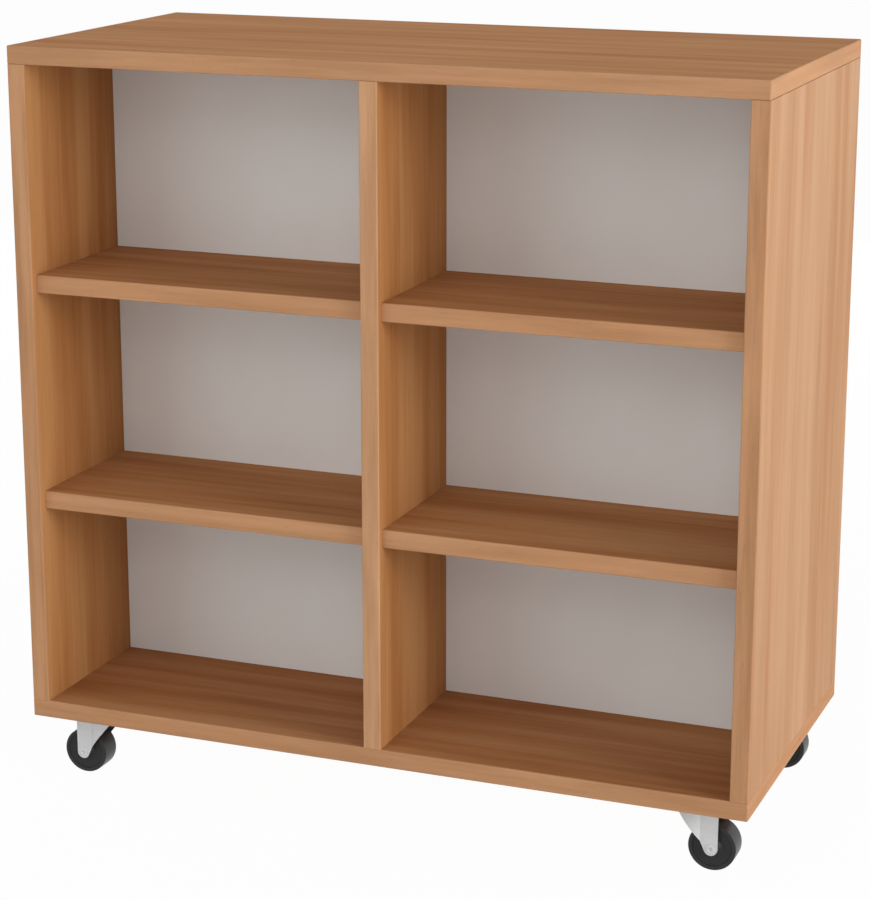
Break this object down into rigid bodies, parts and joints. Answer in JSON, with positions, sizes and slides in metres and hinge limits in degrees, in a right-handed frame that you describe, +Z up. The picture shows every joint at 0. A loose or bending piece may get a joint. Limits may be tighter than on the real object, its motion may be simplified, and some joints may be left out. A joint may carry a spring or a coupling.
{
  "type": "mobile shelving unit",
  "caption": "Double-sided wooden shelving unit with a central divider and a thin partition, on swivel castors; open shelf spaces on both faces.",
  "frame": {"origin": "on the floor under the middle of the unit", "axes": "+X to the right along the width, +Y from the front face to the rear face, +Z up"},
  "size_m": [0.8, 0.38, 0.8],
  "materials": {
    "beech_board": "satin",
    "beech_edge": "satin",
    "white_panel": "satin",
    "dowel": "matte",
    "zinc_steel": "satin",
    "bearing_steel": "polished",
    "wheel_core": "satin",
    "wheel_tyre": "satin"
  },
  "bodies": {
    "cabinet": {"top_board": "beech_board", "bottom_board": "beech_board", "left_side": "beech_board", "right_side": "beech_board", "centre_divider": "beech_board", "partition_left": "white_panel", "partition_right": "white_panel", "shelf_front_left_lower": "beech_board", "shelf_front_left_upper": "beech_board", "shelf_front_right_lower": "beech_board", "shelf_front_right_upper": "beech_board", "shelf_rear_left_lower": "beech_board", "shelf_rear_left_upper": "beech_board", "shelf_rear_right_lower": "beech_board", "shelf_rear_right_upper": "beech_board", "top_edge_band": "beech_edge", "bottom_edge_band": "beech_edge", "left_edge_bands": "beech_edge", "right_edge_bands": "beech_edge", "divider_edge_bands": "beech_edge", "shelf_edge_bands": "beech_edge", "carcass_dowels": "dowel", "shelf_dowels": "dowel", "castor_plate_front_left": "zinc_steel", "castor_plate_front_right": "zinc_steel", "castor_plate_rear_left": "zinc_steel", "castor_plate_rear_right": "zinc_steel", "castor_screws": "zinc_steel", "king_pins": "zinc_steel", "swivel_washers": "zinc_steel", "swivel_balls": "bearing_steel"},
    "swivel_front_left": {"fork_front_left": "zinc_steel", "axle_front_left": "zinc_steel"},
    "wheel_front_left": {"bush_front_left": "wheel_core", "wheel_core_front_left": "wheel_core", "tyre_front_left": "wheel_tyre"},
    "swivel_front_right": {"fork_front_right": "zinc_steel", "axle_front_right": "zinc_steel"},
    "wheel_front_right": {"bush_front_right": "wheel_core", "wheel_core_front_right": "wheel_core", "tyre_front_right": "wheel_tyre"},
    "swivel_rear_left": {"fork_rear_left": "zinc_steel", "axle_rear_left": "zinc_steel"},
    "wheel_rear_left": {"bush_rear_left": "wheel_core", "wheel_core_rear_left": "wheel_core", "tyre_rear_left": "wheel_tyre"},
    "swivel_rear_right": {"fork_rear_right": "zinc_steel", "axle_rear_right": "zinc_steel"},
    "wheel_rear_right": {"bush_rear_right": "wheel_core", "wheel_core_rear_right": "wheel_core", "tyre_rear_right": "wheel_tyre"}
  },
  "joints": [
    {"name": "swivel_front_left", "type": "hinge", "parent": "cabinet", "child": "swivel_front_left", "pos_m": [-0.333, -0.145, 0.066], "axis": [0, 0, 1], "continuous": true},
    {"name": "wheel_front_left_spin", "type": "hinge", "parent": "swivel_front_left", "child": "wheel_front_left", "pos_m": [-0.356, -0.145, 0.025], "axis": [0, 1, 0], "continuous": true},
    {"name": "swivel_front_right", "type": "hinge", "parent": "cabinet", "child": "swivel_front_right", "pos_m": [0.333, -0.145, 0.066], "axis": [0, 0, 1], "continuous": true},
    {"name": "wheel_front_right_spin", "type": "hinge", "parent": "swivel_front_right", "child": "wheel_front_right", "pos_m": [0.356, -0.145, 0.025], "axis": [0, 1, 0], "continuous": true},
    {"name": "swivel_rear_left", "type": "hinge", "parent": "cabinet", "child": "swivel_rear_left", "pos_m": [-0.333, 0.145, 0.066], "axis": [0, 0, 1], "continuous": true},
    {"name": "wheel_rear_left_spin", "type": "hinge", "parent": "swivel_rear_left", "child": "wheel_rear_left", "pos_m": [-0.356, 0.145, 0.025], "axis": [0, 1, 0], "continuous": true},
    {"name": "swivel_rear_right", "type": "hinge", "parent": "cabinet", "child": "swivel_rear_right", "pos_m": [0.333, 0.145, 0.066], "axis": [0, 0, 1], "continuous": true},
    {"name": "wheel_rear_right_spin", "type": "hinge", "parent": "swivel_rear_right", "child": "wheel_rear_right", "pos_m": [0.356, 0.145, 0.025], "axis": [0, 1, 0], "continuous": true}
  ]
}
